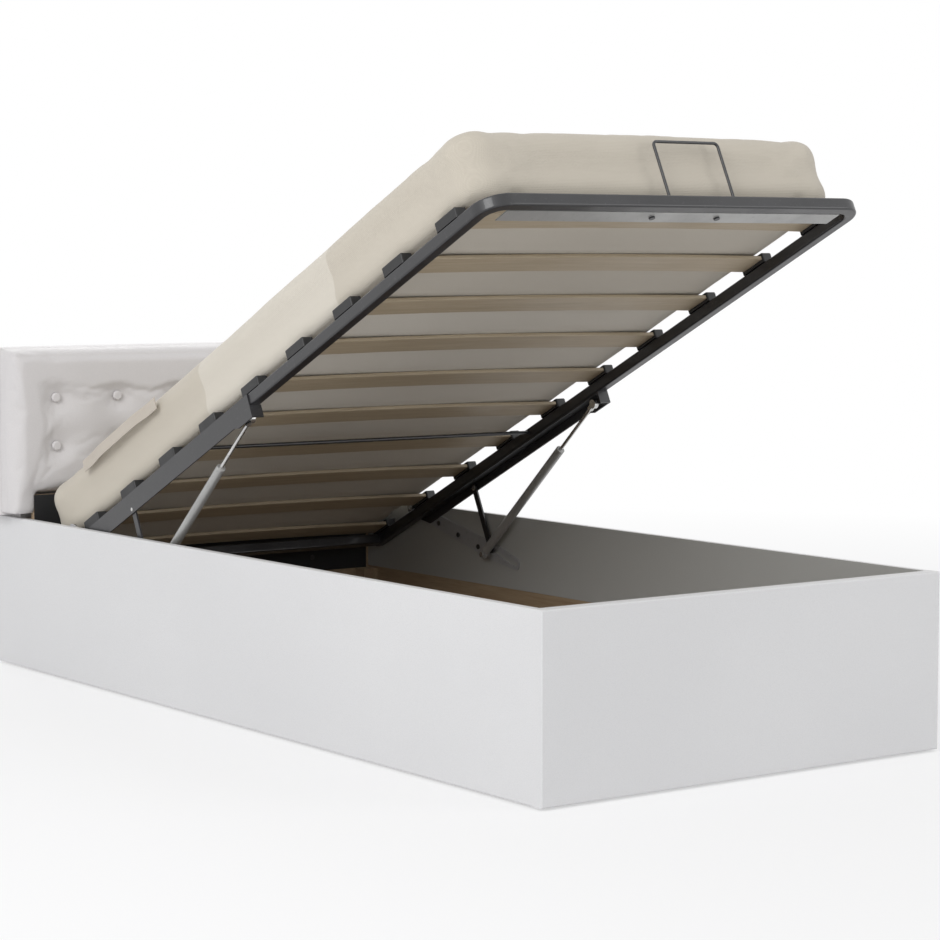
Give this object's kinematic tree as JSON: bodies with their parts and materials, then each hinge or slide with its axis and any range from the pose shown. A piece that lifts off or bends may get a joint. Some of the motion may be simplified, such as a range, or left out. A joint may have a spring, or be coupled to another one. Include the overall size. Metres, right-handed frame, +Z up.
{
  "type": "ottoman bed",
  "caption": "Single ottoman bed with covered storage box, buttoned headboard and a sprung-slat mattress frame held tipped up by gas springs.",
  "frame": {"origin": "on the floor under the middle of the bed's box and headboard", "axes": "+Z up, +Y towards the headboard, +X to the right seen from the foot end; stored with the mattress frame open"},
  "size_m": [1.03, 2.106, 1.191],
  "materials": {
    "white_cover": "satin",
    "board": "matte",
    "floor_sheet": "matte",
    "black_lining": "matte",
    "black_steel": "satin",
    "bracket_steel": "satin",
    "grey_steel": "satin",
    "bright_steel": "satin",
    "black_plastic": "matte",
    "slat_wood": "satin",
    "mattress_cloth": "matte",
    "handle_strap": "matte"
  },
  "bodies": {
    "bed_base": {"side_board_left": "board", "side_board_right": "board", "side_cover_left": "white_cover", "side_cover_right": "white_cover", "foot_board": "board", "foot_cover": "white_cover", "head_end_board": "board", "head_end_lining": "black_lining", "corner_blocks": "board", "side_batten_left": "board", "side_batten_right": "board", "cross_battens": "board", "floor_sheet_foot": "floor_sheet", "floor_sheet_head": "floor_sheet", "glides": "black_plastic", "headboard_board": "board", "headboard_cover": "white_cover", "headboard_legs": "board", "headboard_pad": "white_cover", "headboard_buttons": "white_cover", "box_bolts": "black_steel", "base_bracket_left": "bracket_steel", "base_bracket_right": "bracket_steel", "hinge_pins": "bright_steel", "strut_studs": "bright_steel"},
    "lid": {"foot_tube": "black_steel", "head_tube": "black_steel", "side_tube_left": "black_steel", "side_tube_right": "black_steel", "cross_rod": "black_steel", "foot_strip": "grey_steel", "retainer": "black_steel", "rail_left": "black_steel", "rail_right": "black_steel", "frame_bolts": "black_steel", "slat_caps": "black_plastic", "slat_01": "slat_wood", "slat_02": "slat_wood", "slat_03": "slat_wood", "slat_04": "slat_wood", "slat_05": "slat_wood", "slat_06": "slat_wood", "slat_07": "slat_wood", "slat_08": "slat_wood", "slat_09": "slat_wood", "slat_10": "slat_wood", "mattress": "mattress_cloth", "mattress_handles": "handle_strap", "stay_pin_left": "bright_steel", "stay_pin_right": "bright_steel"},
    "stay_left": {"stay_left": "black_steel", "slot_pin_left": "bright_steel"},
    "stay_right": {"stay_right": "black_steel", "slot_pin_right": "bright_steel"},
    "gas_cylinder_left": {"gas_cylinder_left": "grey_steel"},
    "gas_cylinder_right": {"gas_cylinder_right": "grey_steel"},
    "gas_rod_left": {"gas_rod_left": "bright_steel"},
    "gas_rod_right": {"gas_rod_right": "bright_steel"}
  },
  "joints": [
    {"name": "lid_hinge", "type": "hinge", "parent": "bed_base", "child": "lid", "pos_m": [0, 0.706, 0.341], "axis": [1, 0, 0], "range_deg": [0, 25.6], "stiffness_Nm_per_rad": 250, "springref_deg": -148.97},
    {"name": "gas_cylinder_turn_left", "type": "hinge", "parent": "bed_base", "child": "gas_cylinder_left", "pos_m": [-0.443, 0.383, 0.255], "axis": [1, 0, 0], "range_deg": [0, 38.8]},
    {"name": "gas_rod_slide_left", "type": "slide", "parent": "gas_cylinder_left", "child": "gas_rod_left", "axis": [0, -0.7438, 0.6684], "range_m": [-0.091, 0]},
    {"name": "stay_turn_left", "type": "hinge", "parent": "lid", "child": "stay_left", "pos_m": [-0.4565, 0.4365, 0.40802], "axis": [1, 0, 0], "range_deg": [-73.4, 0]},
    {"name": "gas_cylinder_turn_right", "type": "hinge", "parent": "bed_base", "child": "gas_cylinder_right", "pos_m": [0.443, 0.383, 0.255], "axis": [1, 0, 0], "range_deg": [0, 38.8]},
    {"name": "gas_rod_slide_right", "type": "slide", "parent": "gas_cylinder_right", "child": "gas_rod_right", "axis": [0, -0.7438, 0.6684], "range_m": [-0.091, 0]},
    {"name": "stay_turn_right", "type": "hinge", "parent": "lid", "child": "stay_right", "pos_m": [0.4565, 0.4365, 0.40802], "axis": [1, 0, 0], "range_deg": [-73.4, 0]}
  ],
  "couplings": [
    {"joint": "gas_cylinder_turn_left", "follows": "lid_hinge", "ratio": 1.5139},
    {"joint": "gas_rod_slide_left", "follows": "lid_hinge", "m_per_rad": -0.20301},
    {"joint": "stay_turn_left", "follows": "lid_hinge", "ratio": -2.865},
    {"joint": "gas_cylinder_turn_right", "follows": "lid_hinge", "ratio": 1.5139},
    {"joint": "gas_rod_slide_right", "follows": "lid_hinge", "m_per_rad": -0.20301},
    {"joint": "stay_turn_right", "follows": "lid_hinge", "ratio": -2.865}
  ]
}
